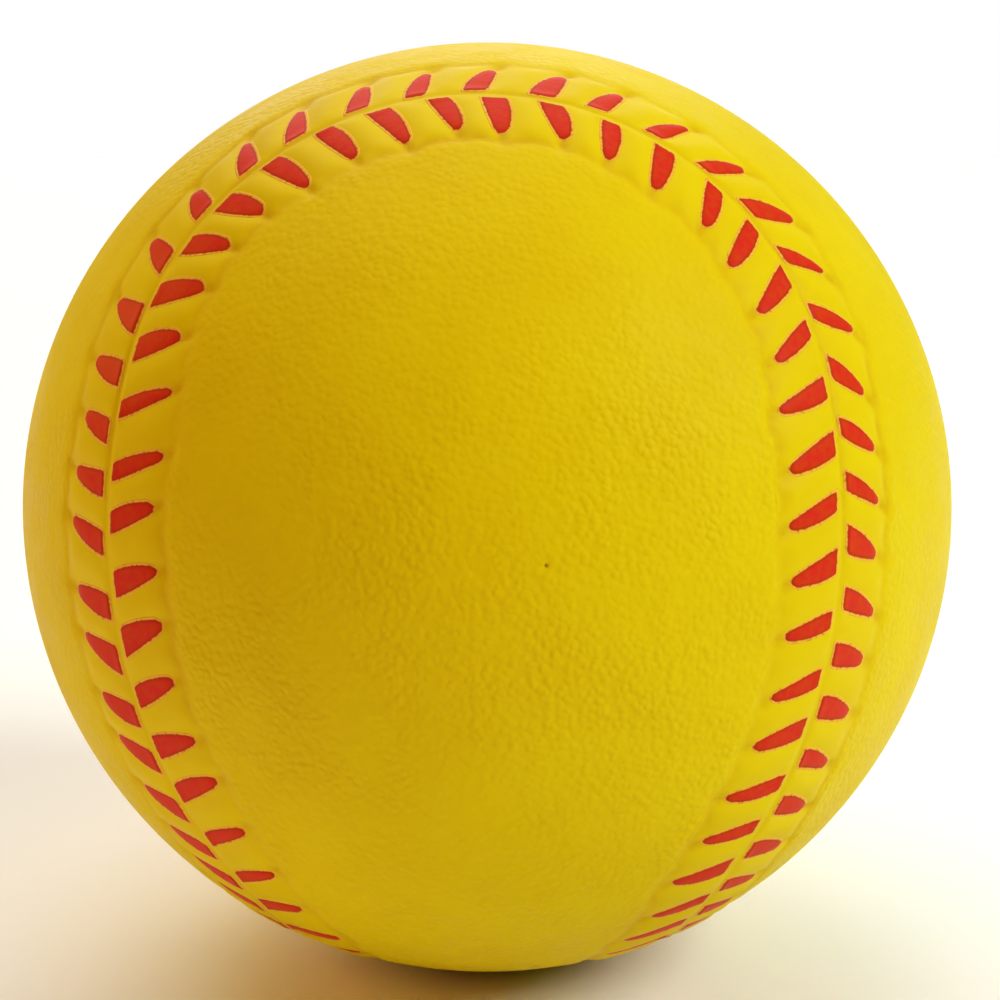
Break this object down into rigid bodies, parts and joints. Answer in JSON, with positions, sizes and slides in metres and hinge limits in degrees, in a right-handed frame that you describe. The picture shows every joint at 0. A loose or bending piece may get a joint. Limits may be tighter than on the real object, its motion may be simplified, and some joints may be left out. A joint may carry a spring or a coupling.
{
  "type": "stress ball",
  "caption": "Round yellow squeeze ball of moulded soft foam, with a grained skin and a seam that winds round it between rows of red painted stitches.",
  "frame": {"origin": "centre of the ball", "axes": "+Z is the axis about which the seam repeats every half turn; -Y is the front, where a lobe of the seam rises towards +Z; the ball rests on its lowest point, at -Z"},
  "size_m": [0.063, 0.063, 0.063],
  "materials": {
    "open_cell_foam": "matte open-cell polyurethane foam, soft",
    "yellow_skin": "satin polyurethane skin with a fine pebbled grain, smooth along the seam",
    "red_paint": "thin flexible satin paint"
  },
  "bodies": {
    "root": {"foam_core": "open_cell_foam", "moulded_skin": "yellow_skin", "lower_panel_stitches": "red_paint", "upper_panel_stitches": "red_paint"}
  },
  "joints": []
}
